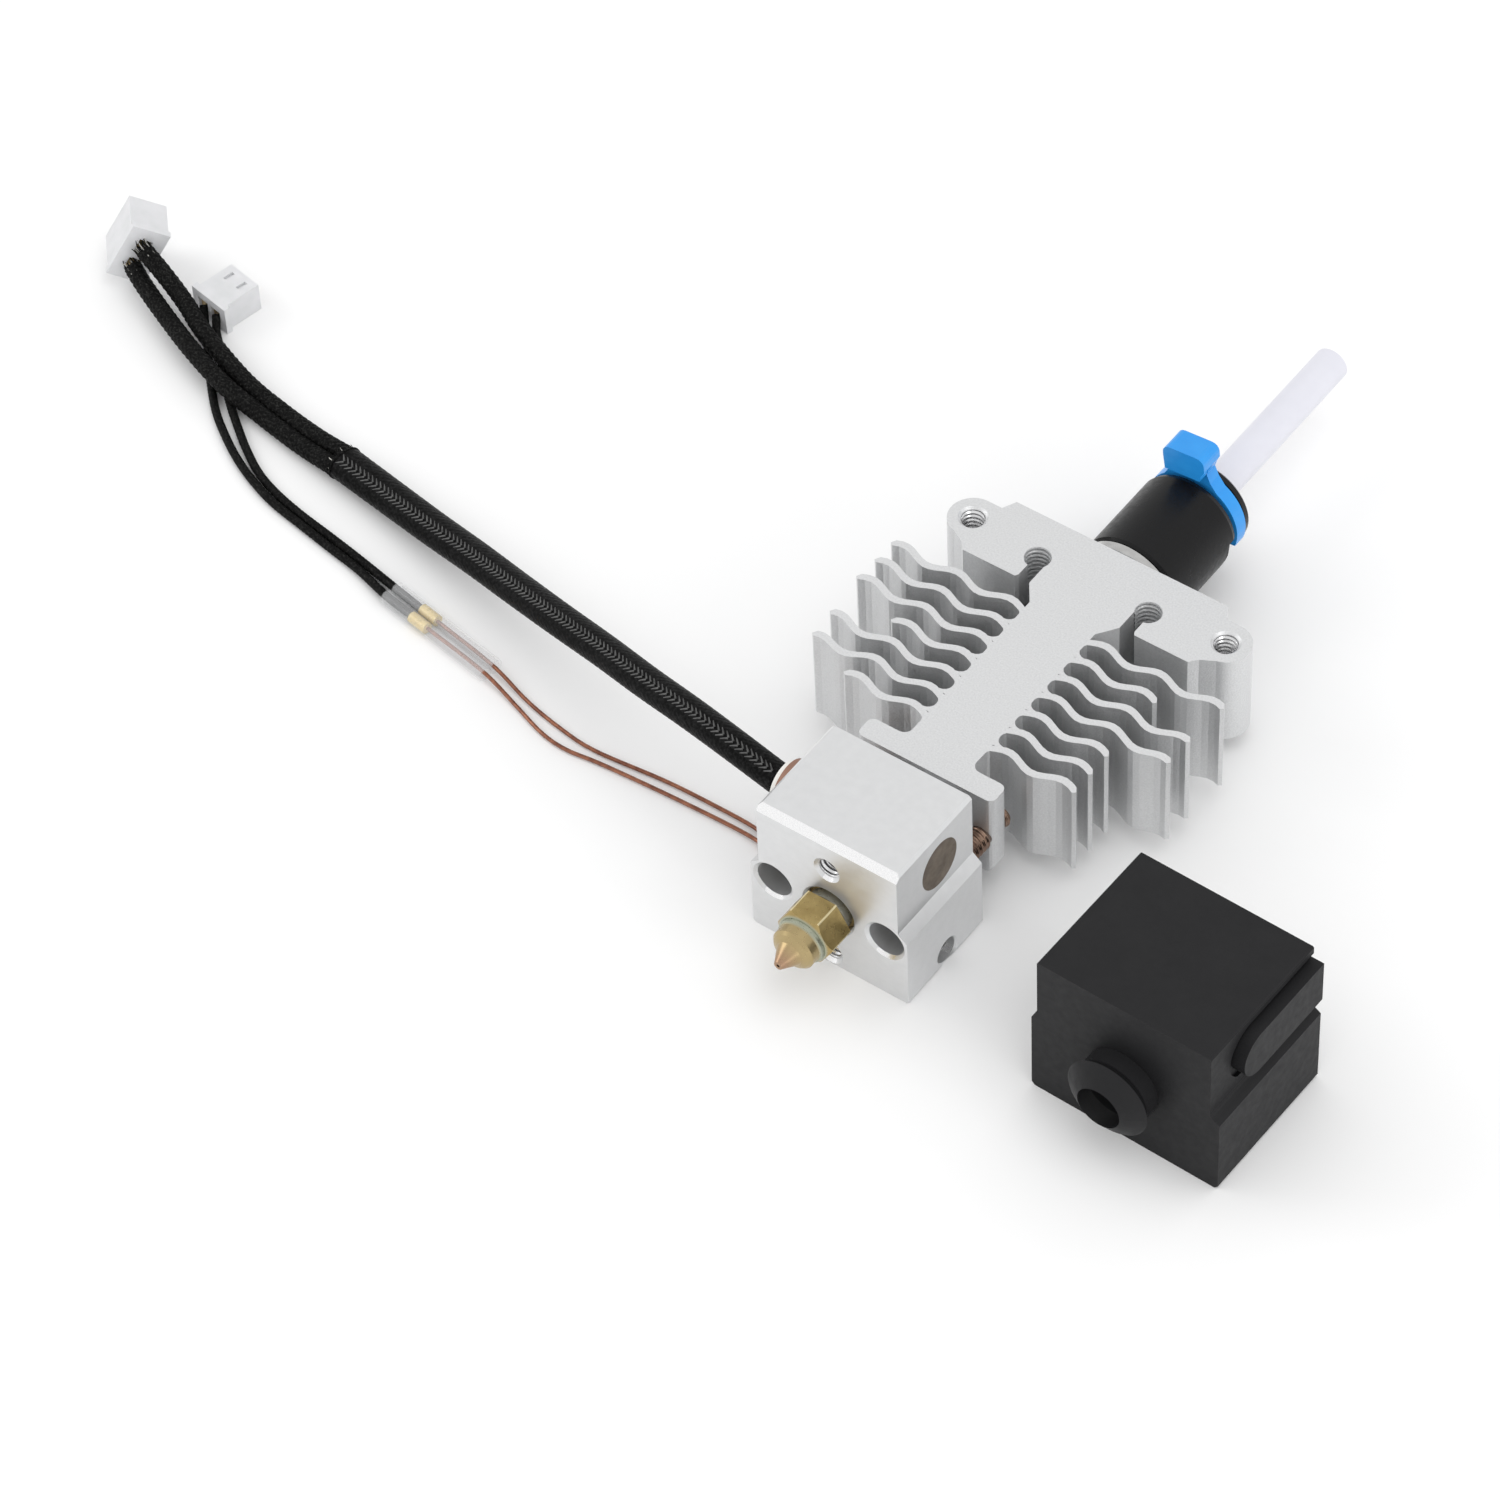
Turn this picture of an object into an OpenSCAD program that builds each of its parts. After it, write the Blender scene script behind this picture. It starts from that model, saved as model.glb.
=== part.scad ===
// Hotend of a desktop 3-D printer, laid out on a bench: nozzle, heater block,
// heat break, finned heat sink, push-fit tube fitting with its locking clip,
// feed tube, heater and sensor harness, and the silicone sock beside it.
// Millimetres, +Z up.  The filament comes in from +Y and leaves at -Y.
// The origin is midway between the two ear mounting holes, on the filament axis.

/* [Heat sink] */
// Thickness of the extruded profile, top to bottom
sink_thick = 12; // [8:0.5:20]
// Distance between the two ear mounting holes
ear_spacing = 32; // [24:0.5:44]
// Radius of the ear mounting holes, M3 thread drawn plain
ear_hole_r = 1.4; // [1:0.05:2]
// Radius of the round end of each ear
ear_r = 2.8; // [2:0.1:4]
// Number of fins on each side
fin_count = 7; // [5:1:7]
// Distance from one fin to the next
fin_pitch = 2.95; // [2.6:0.05:3.4]
// Thickness of one fin
fin_thick = 0.87; // [0.6:0.01:1.2]
// Height of the wave in the fins
fin_wave = 0.53; // [0:0.01:0.7]
// Distance from the axis to the slots beside the spine
spine_half = 4; // [3.4:0.1:5]
// Half width of the flange that faces the block
flange_half = 8.5; // [8.3:0.1:12]
// Radius of the two keyhole screw holes
key_hole_r = 1.5; // [1.2:0.05:1.8]
// Distance of the keyhole screw holes from the axis
key_hole_x = 7; // [6.5:0.1:8]

/* [Heater block] */
// Half width of the upper part of the block
block_half_top = 8.7; // [8.5:0.1:12]
// Half width of the lower part of the block
block_half_low = 9.8; // [8.8:0.1:13]
// Height of the block above the axis
block_up = 10.8; // [9.5:0.1:14]
// Height of the block below the axis
block_down = 8.2; // [8:0.1:10]
// Length of the block along the axis
block_len = 13.2; // [11:0.1:16]
// Distance of the block screws from the axis
block_screw_x = 7; // [5:0.1:7]
// Height of the heater cartridge above the axis
cartridge_z = 6; // [5.5:0.1:7]
// Radius of the heater cartridge
cartridge_r = 2.98; // [2:0.01:3]

/* [Nozzle and heat break] */
// Width across the flats of the nozzle hexagon
nozzle_flats = 6; // [5.5:0.1:8]
// Diameter of the nozzle orifice
orifice_d = 0.4; // [0.2:0.1:1]
// Diameter of the filament bore
filament_bore_d = 2; // [1.8:0.05:2]

/* [Tube and fitting] */
// Outside diameter of the feed tube
tube_d = 4; // [3:0.1:4]
// Length of feed tube standing out of the collet
tube_out = 24.7; // [5:0.1:60]
// Radius of the black fitting body
fitting_r = 5.95; // [5.6:0.05:7]
// Thickness of the locking clip
clip_thick = 1.65; // [1.2:0.05:1.7]

/* [Silicone sock] */
// Where the sock lies, across
sock_x = 37.3; // [30:0.1:60]
// Length of the sock without its snout
sock_len = 17.6; // [16:0.1:20]
// How far the sock is turned on the bench
sock_turn = -1.5; // [-20:0.5:20]

/* [Harness] */
// Diameter of the braided sleeve
sleeve_d = 3.6; // [3:0.1:3.6]
// Diameter of each braided heater lead
heater_lead_d = 2; // [1.6:0.1:2.2]
// Diameter of each sensor lead
sensor_lead_d = 0.95; // [0.8:0.05:0.95]
// Diameter of each enamelled sensor wire
sensor_wire_d = 0.46; // [0.3:0.02:0.5]

/* [Hidden] */
$fn = 48;
e = 0.01;
floor_z = -block_down;

// fore and aft stations along the filament axis
plate_back = 4.4;
plate_front = -4.5;
flange_back = -29.1;
flange_front = -31.8;
block_back = -35.6;
block_front = block_back - block_len;
break_start = -41.5;
break_end = -20;
cartridge_y = -41.4;
sensor_y = -41.95;
sensor_z = -6.45;
screw_tip = -28.2;
clip_lean = -4.5;
tube_r = tube_d / 2;
bore_r = tube_r + 0.05;
body_back = 17.9;
clip_front = 18.1;
collet_face = 20.1;
collet_back = 21;

// outer ends of the fins, measured from the axis, block end last
left_tips = [21.1, 21.1, 21.3, 14.7, 20.7, 20.4, 14.5];
right_tips = [20.9, 14.7, 20.5, 20.4, 14.7, 14.7, 14.7];
fin_step = 0.75;

// harness routes
sleeve_route = [
    [-11.1, -41.4, 6], [-18.1, -40.2, 6], [-24.8, -38.6, 5.1], [-31.8, -36.8, 3.7],
    [-39.2, -34.6, 2], [-46.8, -32.4, 0.1], [-54.5, -30.1, -1.8], [-62.2, -27.8, -3.6],
    [-69.8, -25.9, -5], [-77.2, -24.2, -5.9], [-85.1, -22.7, -6.3]];
heater_lead_a_route = [
    [-85.2, -21.6, -6.3], [-89.9, -21.2, -6.5], [-96.1, -20.1, -6.8], [-102.2, -19, -6.3],
    [-110.2, -16.3, -5.5], [-114.9, -14, -5.2], [-118.9, -12.7, -4], [-122.12, -12.15, -2.35]];
heater_lead_b_route = [
    [-85.5, -23.8, -6.35], [-91.1, -22.9, -6.9], [-97.5, -21.8, -6.9], [-103.2, -21.2, -5.9],
    [-109, -19.4, -5.6], [-115, -16.9, -5.6], [-120.4, -14.5, -5.4], [-123.25, -13.15, -4.95]];
sensor_lead_a_route = [
    [-113.8, -12.3, -6.35], [-113, -13.2, -7.3], [-111.7, -14.6, -7.7], [-109.5, -16.9, -7.7],
    [-106.2, -20.4, -7.7], [-102.9, -23.5, -7.7], [-99.7, -25.8, -7.7], [-96.2, -27.9, -7.7],
    [-92.5, -29.6, -7.7], [-88.6, -30.9, -7.7], [-83.9, -31.8, -7.7], [-79, -32.7, -7.7],
    [-74.2, -33.6, -7.6], [-69.1, -35.1, -7.3], [-65, -35.8, -7.3]];
sensor_lead_b_route = [
    [-111.6, -12.7, -6.35], [-110.5, -14.1, -7.4], [-108.8, -15.6, -7.7], [-106.3, -18.1, -7.7],
    [-102.7, -21.4, -7.7], [-99.2, -24.1, -7.7], [-96.1, -26.3, -7.7], [-92.7, -28.3, -7.7],
    [-89.2, -29.6, -7.7], [-84.9, -30.6, -7.7], [-80, -31.4, -7.7], [-75.2, -32.3, -7.6],
    [-68.9, -33.7, -7.3], [-64.8, -34.5, -7.3]];
sensor_wire_a_route = [
    [-62.3, -34.9, -7.3], [-53.4, -36.6, -7.3], [-47.6, -38.2, -7.8], [-42.6, -39.2, -7.9],
    [-37.4, -39.7, -7.9], [-28.8, -38.9, -7.9], [-22.6, -38.7, -7.9], [-16.6, -38.9, -7.8],
    [-13, -40.5, -7.2], [-11, -41.5, -6.6], [-9.2, -41.5, -6.6]];
sensor_wire_b_route = [
    [-62.6, -36.3, -7.3], [-53.7, -37.9, -7.3], [-48.2, -39.4, -7.8], [-43.5, -40.9, -7.9],
    [-39.9, -41.3, -7.9], [-35.5, -40.8, -7.9], [-25.6, -40.2, -7.9], [-16.1, -40.1, -7.8],
    [-13, -41.6, -7.2], [-11, -42.4, -6.6], [-9.2, -42.4, -6.6]];

// twin-lobe splice sleeve on the sensor wires
splice_start = [-69, -34.4, -7.3];
splice_turn = -10.4;
splice_len = 16.1;
splice_half = 0.76;

// ---------- helpers ----------

function unit(v) = v / norm(v);

// direction of a route at point i
function along(p, i) =
    unit(p[min(i + 1, len(p) - 1)] - p[max(i - 1, 0)]);

// ring of points round one route point
function ring(p, i, r, n) =
    let (t = along(p, i))
    let (s = unit(cross(t, [0, 0, 1])))
    let (u = cross(s, t))
    [for (k = [0 : n - 1]) p[i] + r * (cos(k * 360 / n) * s + sin(k * 360 / n) * u)];

// round cord swept along a route
module cord(p, d, n = 8) {
    m = len(p);
    polyhedron(
        points = [for (i = [0 : m - 1]) each ring(p, i, d / 2, n)],
        faces = concat(
            [[for (k = [n - 1 : -1 : 0]) k]],
            [for (i = [0 : m - 2], k = [0 : n - 1])
                [i * n + k, i * n + (k + 1) % n, (i + 1) * n + (k + 1) % n, (i + 1) * n + k]],
            [[for (k = [0 : n - 1]) (m - 1) * n + k]]),
        convexity = 6);
}

// bar along +Y between two stations
module bar_y(y0, y1, r) {
    translate([0, y0, 0])
        rotate([-90, 0, 0])
            cylinder(h = y1 - y0, r = r);
}

// bar along +X between two stations
module bar_x(x0, x1, r) {
    translate([x0, 0, 0])
        rotate([0, 90, 0])
            cylinder(h = x1 - x0, r = r);
}

// solid of revolution about the filament axis; points are [radius, y]
module turned(pts) {
    rotate([90, 0, 0])
        rotate_extrude()
            polygon([for (q = pts) [q[0], -q[1]]]);
}

// plate standing across the axis between two stations; points are [x, z]
module across(y0, y1, pts) {
    translate([0, y1, 0])
        rotate([90, 0, 0])
            linear_extrude(height = y1 - y0)
                polygon(pts);
}

// points on an arc, for rounded corners of a profile
function arc(x, y, r, a0, a1, n) =
    [for (k = [0 : n]) [x + r * cos(a0 + (a1 - a0) * k / n), y + r * sin(a0 + (a1 - a0) * k / n)]];

module both_sides() {
    children();
    mirror([1, 0, 0])
        children();
}

// ---------- heat sink ----------

// bent outer ends seen on two of the fins
function fin_bend(side, i, x) =
    side < 0 && i == 5 ? -0.7 * max(0, (x - 14) / 6.4)
    : side > 0 && i == 3 ? -0.6 * max(0, (x - 15) / 5.4)
    : 0;

// centre line of fin i at distance x from the axis
function fin_y(side, i, x) =
    -7.95 - fin_pitch * i + fin_wave * cos(360 * (x - 6) / 6.75) + fin_bend(side, i, x);

module fin(side, i, tip) {
    n = round((tip - 3.2) / fin_step);
    xs = [for (k = [0 : n]) 3.2 + (tip - 0.35 - 3.2) * k / n];
    polygon(concat(
        [for (k = [0 : n]) [side * xs[k], fin_y(side, i, xs[k]) + fin_thick / 2]],
        [[side * tip, fin_y(side, i, tip)]],
        [for (k = [n : -1 : 0]) [side * xs[k], fin_y(side, i, xs[k]) - fin_thick / 2]]));
}

// rounded bottom of the slot between fin i and the next one
module slot_end(side, i) {
    r = (fin_pitch - fin_thick) / 2;
    x = spine_half + r;
    y = (fin_y(side, i, x) + fin_y(side, i + 1, x)) / 2;
    polygon(concat(
        [[side * (spine_half - 0.2), y - r - 0.4], [side * (spine_half - 0.2), y + r + 0.4],
            [side * x, y + r + 0.2]],
        [for (q = arc(x, y, r, 90, 270, 8)) [side * q[0], q[1]]],
        [[side * x, y - r - 0.2]]));
}

// half of the plate that carries the ears, with the spine behind it
module ear_half() {
    ex = ear_spacing / 2;
    polygon([
        [-e, plate_back], [13.4, plate_back], [14.2, ear_r], [ex, ear_r],
        [ex, 0], [ex + 0.6, -2.73], [15, -3.6], [14.2, plate_front],
        [5.7, plate_front], [4.1, -6.7], [spine_half, flange_back + e], [-e, flange_back + e]]);
    translate([ex, 0])
        circle(r = ear_r);
}

module key_slot() {
    polygon([
        [5.7, -0.6], [7.3, -0.6], [7.3, -4.1], [7.6, -4.6], [5.7, -4.6]]);
    translate([key_hole_x, -1])
        circle(r = key_hole_r);
}

module sink_profile() {
    difference() {
        union() {
            ear_half();
            mirror([1, 0])
                ear_half();
            for (i = [0 : fin_count - 1]) {
                fin(-1, i, left_tips[i]);
                fin(1, i, right_tips[i]);
            }
            for (i = [0 : fin_count - 2], side = [-1, 1])
                slot_end(side, i);
            // last fin meets the spine with a small radius
            for (side = [-1, 1])
                polygon([for (q = concat(
                    [[spine_half + 1, -25.6], [spine_half - 0.2, -25.6], [spine_half - 0.2, -26.75]],
                    arc(spine_half + 1, -26.75, 1, 180, 90, 4))) [side * q[0], q[1]]]);
        }
        key_slot();
        mirror([1, 0])
            key_slot();
    }
}

// half outline of the flange that faces the block
function flange_edge() = concat(
    arc(flange_half - 0.8, flange_front + 0.8, 0.8, 270, 360, 4),
    arc(flange_half - 0.8, flange_back - 0.8, 0.8, 0, 90, 4),
    arc(spine_half + 1, flange_back + 1, 1, 270, 180, 4));

// flange facing the block, cut away underneath
module sink_flange() {
    half = flange_edge();
    n = len(half);
    intersection() {
        translate([0, 0, -5.2])
            linear_extrude(height = 5.2 + sink_thick / 2)
                polygon(concat(half, [for (k = [n - 1 : -1 : 0]) [-half[k][0], half[k][1]]]));
        across(flange_front - 1, -27, concat(
            [[flange_half + 1, sink_thick / 2 + e], [-flange_half - 1, sink_thick / 2 + e]],
            arc(-flange_half + 1.2, -4, 1.2, 180, 270, 4),
            arc(flange_half - 1.2, -4, 1.2, 270, 360, 4)));
    }
}

module heat_sink() {
    color("silver")
    difference() {
        union() {
            translate([0, 0, -sink_thick / 2])
                linear_extrude(height = sink_thick, convexity = 12)
                    sink_profile();
            sink_flange();
            // root of the spine under the cut-away flange
            translate([-spine_half, flange_front, -sink_thick / 2])
                cube([2 * spine_half, 3, sink_thick]);
        }
        // thread for the heat break, way for the tube, thread for the fitting
        bar_y(flange_front - 1, break_end, 3);
        bar_y(break_end - e, 0, bore_r);
        bar_y(-2.6, plate_back + 1, 4);
        // block screws
        both_sides()
            translate([block_screw_x, 0, 0])
                bar_y(flange_front - 1, flange_back + 1, 1.25);
        // ears
        both_sides()
            translate([ear_spacing / 2, 0, 0]) {
                translate([0, 0, -sink_thick])
                    cylinder(h = 2 * sink_thick, r = ear_hole_r);
                translate([0, 0, sink_thick / 2 - 0.25])
                    cylinder(h = 0.26, r1 = ear_hole_r, r2 = ear_hole_r + 0.26);
            }
    }
}

// ---------- hot end ----------

module heat_break() {
    color("lightgrey")
    turned([
        [bore_r, break_start], [2.75, break_start], [2.97, break_start + 0.3],
        [2.97, block_back - 0.2], [2.6, block_back + 0.1], [2.6, flange_front - 0.1],
        [2.97, flange_front + 0.2], [2.97, break_end - 0.3], [2.7, break_end - e],
        [bore_r, break_end - e]]);
}

module heater_block() {
    color("gainsboro")
    difference() {
        across(block_front, block_back, [
            [-block_half_top, 2.2], [-block_half_top, block_up - 0.35],
            [-block_half_top + 0.35, block_up], [block_half_top - 0.35, block_up],
            [block_half_top, block_up - 0.35], [block_half_top, 2.2],
            [block_half_low, 1.2], [block_half_low, -block_down + 0.3],
            [block_half_low - 0.3, -block_down], [-block_half_low + 0.3, -block_down],
            [-block_half_low, -block_down + 0.3], [-block_half_low, 1.2]]);
        // bevel along the top front edge
        translate([0, block_front, block_up])
            rotate([45, 0, 0])
                cube([30, 1.13, 1.13], center = true);
        // nozzle and heat break thread
        bar_y(block_front - 1, block_back + 1, 3);
        translate([0, block_front - e, 0])
            rotate([-90, 0, 0])
                cylinder(h = 0.3, r1 = 3.3, r2 = 3);
        // block screws: head pockets and clearance holes
        both_sides()
            translate([block_screw_x, 0, 0]) {
                bar_y(block_front - 1, -40.5, 2.15);
                bar_y(-40.6, block_back + 1, 1.4);
                translate([0, block_front - e, 0])
                    rotate([-90, 0, 0])
                        cylinder(h = 0.4, r1 = 2.5, r2 = 2.1);
            }
        // set screw holes
        translate([0, 0, 6.4])
            bar_y(block_front - 1, cartridge_y, 1.25);
        translate([0, 0, -6.5])
            bar_y(block_front - 1, sensor_y, 1.25);
        for (z = [6.4, -6.5])
            translate([0, block_front - e, z])
                rotate([-90, 0, 0])
                    cylinder(h = 0.45, r1 = 1.62, r2 = 1.2);
        // heater and sensor
        translate([0, cartridge_y, cartridge_z])
            bar_x(-12, 12, 3);
        translate([0, sensor_y, sensor_z])
            bar_x(-12, 12, 1.55);
        both_sides()
            translate([block_half_low + e, sensor_y, sensor_z])
                rotate([0, -90, 0])
                    cylinder(h = 0.24, r1 = 1.74, r2 = 1.5);
    }
}

module nozzle() {
    hex_r = nozzle_flats / sqrt(3);
    color("goldenrod")
    difference() {
        union() {
            turned([
                [0, -45], [2.95, -45], [2.95, -47.8], [2.55, -48.1], [2.55, -49.7], [0, -49.7]]);
            turned([[0, break_start - e], [2.7, break_start - e], [2.95, -41.9], [2.95, -46], [0, -46]]);
            intersection() {
                translate([0, -53.3, 0])
                    rotate([-90, 0, 0])
                        cylinder(h = 3.7, r = hex_r, $fn = 6);
                turned([[0, -49.6], [3.5, -49.7], [3.5, -52.75], [2.85, -53.3], [0, -53.3]]);
            }
            turned([
                [0, -53.2], [2.75, -53.2], [2.75, -53.7], [2.5, -53.9], [2.5, -54.9],
                [2.2, -55.25], [1.55, -55.6], [0.5, -57.5], [0, -57.5]]);
        }
        turned([
            [0, -40], [filament_bore_d / 2, -40], [filament_bore_d / 2, -55],
            [orifice_d / 2, -56.6], [orifice_d / 2, -58], [0, -58]]);
    }
}

module heater_cartridge() {
    color("saddlebrown")
    translate([0, cartridge_y, cartridge_z])
        bar_x(-10.1, block_half_top, cartridge_r);
}

module cartridge_collar() {
    color("white")
    translate([0, cartridge_y, cartridge_z])
        bar_x(-10.75, -10.1, 2.5);
}

module set_screws() {
    color("dimgray") {
        difference() {
            translate([0, 0, 6.4])
                bar_y(-47, cartridge_y - cartridge_r - 0.01, 1.24);
            translate([0, 0, 6.4])
                rotate([0, 30, 0])
                    translate([0, -47.1, 0])
                        rotate([-90, 0, 0])
                            cylinder(h = 1.2, r = 0.75, $fn = 6);
        }
        difference() {
            translate([0, 0, -6.5])
                bar_y(-46, sensor_y - 1.54, 1.24);
            translate([0, -46.1, -6.5])
                rotate([-90, 0, 0])
                    cylinder(h = 1.2, r = 0.75, $fn = 6);
        }
    }
}

module block_screws() {
    color("peru")
    both_sides()
        translate([block_screw_x, 0, 0])
            difference() {
                turned([
                    [0, -42.9], [1.7, -42.9], [2, -42.6], [2, -40.51], [1.24, -40.51],
                    [1.24, screw_tip - 0.4], [0.9, screw_tip], [0, screw_tip]]);
                translate([0, -43, 0])
                    rotate([-90, 0, 0])
                        cylinder(h = 1.3, r = 1.15, $fn = 6);
            }
}

module thermistor() {
    color("tan")
    translate([0, sensor_y, sensor_z])
        bar_x(-9.2, 8.6, 1.51);
}

// ---------- tube fitting ----------

module fitting_base() {
    color("silver")
    turned([
        [bore_r, -2.58], [3.7, -2.58], [3.96, -2.3], [3.96, plate_back + e], [5.55, plate_back + e],
        [5.85, 4.7], [5.85, 5.7], [5.55, 5.99], [bore_r, 5.99]]);
}

module fitting_body() {
    color("dimgray")
    difference() {
        turned([
            [bore_r, 6], [5.65, 6], [fitting_r, 6.3], [fitting_r, 17], [5.75, 17.55],
            [5.15, body_back], [3.3, body_back], [3.3, 11.3], [4.2, 11.2], [4.2, 10.4],
            [3.3, 10.3], [3.3, 8], [bore_r, 8]]);
        // wrench flat
        translate([4.95, 15.7, -4.5])
            cube([3, 3, 5]);
    }
}

module seal_ring() {
    color("black")
    turned([[tube_r + 0.03, 8.1], [3.28, 8.1], [3.28, 9.7], [tube_r + 0.03, 9.7]]);
}

module grab_ring() {
    color("lightgrey")
    turned([[2.3, 10.5], [4.15, 10.5], [4.15, 11], [3.1, 11], [2.1, 11.2], [2.05, 11]]);
}

module collet() {
    color("black")
    difference() {
        turned([
            [bore_r, 11.7], [2.9, 11.7], [3.2, 12.2], [3.2, collet_face], [5.45, collet_face],
            [5.45, 20.7], [5.15, collet_back], [2.6, collet_back], [bore_r, 20.4]]);
        // slots that let the collet legs spring
        for (a = [0, 90])
            rotate([0, a, 0])
                translate([-4, 11, -0.3])
                    cube([8, 4.5, 0.6]);
    }
}

// outline of the clip's thumb lug, rounded at the top
function lug_edge(low) = concat(
    low, arc(2, 9.5, 0.9, 0, 90, 4), arc(-1.4, 9.5, 0.9, 90, 180, 4));

module collet_clip() {
    color("dodgerblue")
    rotate([0, clip_lean, 0]) {
        translate([0, clip_front + clip_thick, 0])
            rotate([90, 0, 0])
                linear_extrude(height = clip_thick)
                    difference() {
                        circle(r = 5.7);
                        circle(r = 3.5);
                        translate([-3.5, -8])
                            square([7, 8]);
                        translate([-8, -10.1])
                            square([16, 8]);
                    }
        // thumb lug with its flared neck, standing over the end of the fitting body
        across(clip_front, clip_front + clip_thick, lug_edge([
            [-2.3, 8.9], [-2.2, 7], [-2.6, 5.8], [-3.6, 4.2], [3.6, 4.2], [2.6, 5.8],
            [2.2, 7], [2.5, 7.9], [2.9, 8.7]]));
        across(16.7, clip_front + 0.5, lug_edge([
            [-2.3, 8.9], [-2.2, 7.1], [2.2, 7.1], [2.4, 7.8], [2.9, 8.7]]));
    }
}

module ptfe_tube() {
    color("white")
    turned([
        [filament_bore_d / 2, break_start], [tube_r, break_start],
        [tube_r, collet_back + tube_out], [filament_bore_d / 2, collet_back + tube_out]]);
}

// ---------- harness ----------

module heater_sleeve() {
    color("#222222")
    cord(sleeve_route, sleeve_d);
}

module heater_lead_a() {
    color("#222222")
    cord(heater_lead_a_route, heater_lead_d);
}

module heater_lead_b() {
    color("#222222")
    cord(heater_lead_b_route, heater_lead_d);
}

// two-way plug housing; the wires enter its front end
module plug_shell(length, width, high, pitch) {
    difference() {
        union() {
            translate([0, -width / 2, 0])
                cube([length, width, high]);
            // collar at the wire end
            translate([0, -width / 2 - 0.5, 0])
                cube([0.8, width + 1, high]);
        }
        for (s = [-1, 1]) {
            translate([-1, s * pitch / 2 - 0.8, high / 2 - 0.8])
                cube([length + 2, 1.6, 1.6]);
            translate([length * 0.62, s * pitch / 2 - 0.25, high - 0.35])
                cube([1.3, 0.5, 1]);
        }
    }
}

module plug_pins(length, high, pitch) {
    for (s = [-1, 1])
        translate([0.3, s * pitch / 2 - 0.7, high / 2 - 0.7])
            cube([length - 1, 1.4, 1.4]);
}

// the heater plug rests on its edge, rolled about its length
module heater_plug_pose() {
    translate([-123.15, -12.15, -3.65])
        rotate([0, 0, 133])
            rotate([120, 0, 0])
                translate([0, 0, -2.3])
                    children();
}

module heater_plug() {
    color("whitesmoke")
    heater_plug_pose()
        plug_shell(5.6, 6.8, 4.6, 3);
}

module heater_terminals() {
    color("darkgoldenrod")
    heater_plug_pose()
        plug_pins(5.6, 4.6, 3);
}

module sensor_plug() {
    color("whitesmoke")
    translate([-112.7, -12.5, floor_z])
        rotate([0, 0, 79])
            plug_shell(5.4, 4.8, 3.7, 2.2);
}

module sensor_terminals() {
    color("darkgoldenrod")
    translate([-112.7, -12.5, floor_z])
        rotate([0, 0, 79])
            plug_pins(5.4, 3.7, 2.2);
}

module thermistor_wire_a() {
    color("sienna")
    cord(sensor_wire_a_route, sensor_wire_d, 6);
}

module thermistor_wire_b() {
    color("sienna")
    cord(sensor_wire_b_route, sensor_wire_d, 6);
}

module splice_tube() {
    color("white")
    translate(splice_start)
        rotate([0, 0, splice_turn])
            difference() {
                union()
                    for (s = [-1, 1])
                        translate([0, s * splice_half, 0])
                            bar_x(0, splice_len, 0.89);
                for (s = [-1, 1])
                    translate([0, s * splice_half, 0])
                        bar_x(-1, splice_len + 1, 0.68);
            }
}

module splice_crimps() {
    color("gold")
    translate(splice_start)
        rotate([0, 0, splice_turn])
            for (s = [-1, 1])
                translate([0, s * splice_half, 0])
                    bar_x(4.2, 6.7, 0.66);
}

module sensor_lead_a() {
    color("#181818")
    cord(sensor_lead_a_route, sensor_lead_d);
}

module sensor_lead_b() {
    color("#181818")
    cord(sensor_lead_b_route, sensor_lead_d);
}

// ---------- silicone sock ----------

// oblong seen from the side, round at the front, running out at the back
module side_oblong(x0, x1, y, r) {
    translate([0, y + r, 7])
        bar_x(x0, x1, r);
    translate([x0, y + r, 7 - r])
        cube([x1 - x0, sock_len + 1 - y - r, 2 * r]);
}

module silicone_sock() {
    color("#303032")
    translate([sock_x, -50.4 + sock_len / 2, 0])
        rotate([0, 0, sock_turn])
            translate([0, -sock_len / 2, 0])
                difference() {
                    union() {
                        difference() {
                            across(0, sock_len, concat(
                                [[-10.5, 11.35], [-10.35, 11.5], [10.2, 11.5], [10.35, 11.35]],
                                arc(11.35, 3.2, 1, 180, 240, 3),
                                [[11.5, 1.9], [11.5, -7.8], [11.1, floor_z], [-10.8, floor_z],
                                    [-11.2, -7.8], [-11.2, 2.5]],
                                arc(-11.5, 3.8, 1, 300, 360, 3)));
                            // trench round the front and top of the rib
                            intersection() {
                                side_oblong(9.95, 13, 3.3, 3.5);
                                translate([9, 0, 4.2])
                                    cube([5, sock_len + 2, 12]);
                            }
                        }
                        // rib over the heater cartridge hole
                        intersection() {
                            side_oblong(9.7, 11.6, 4, 2.8);
                            translate([9, 0, 0])
                                cube([4, sock_len, 12]);
                        }
                        translate([0, 0, 0.6])
                            turned([
                                [0, 1], [4.2, 1], [4.2, -1.9], [4.8, -2.7],
                                [4.6, -2.9], [2.5, -4.3], [0, -4.3]]);
                    }
                    // cavity that grips the block, open at the back
                    across(1.6, sock_len + 1, [
                        [-8.85, 3.2], [-8.85, 10.7], [8.85, 10.7], [8.85, 3.2],
                        [9.9, 1.2], [9.9, -7.6], [-9.9, -7.6], [-9.9, 1.2]]);
                    // way out for the nozzle
                    translate([0, 0, 0.6])
                        turned([[0, 2], [3.4, 2], [3.4, -1.6], [2.5, -4.4], [2.5, -6], [0, -6]]);
                }
}

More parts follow.
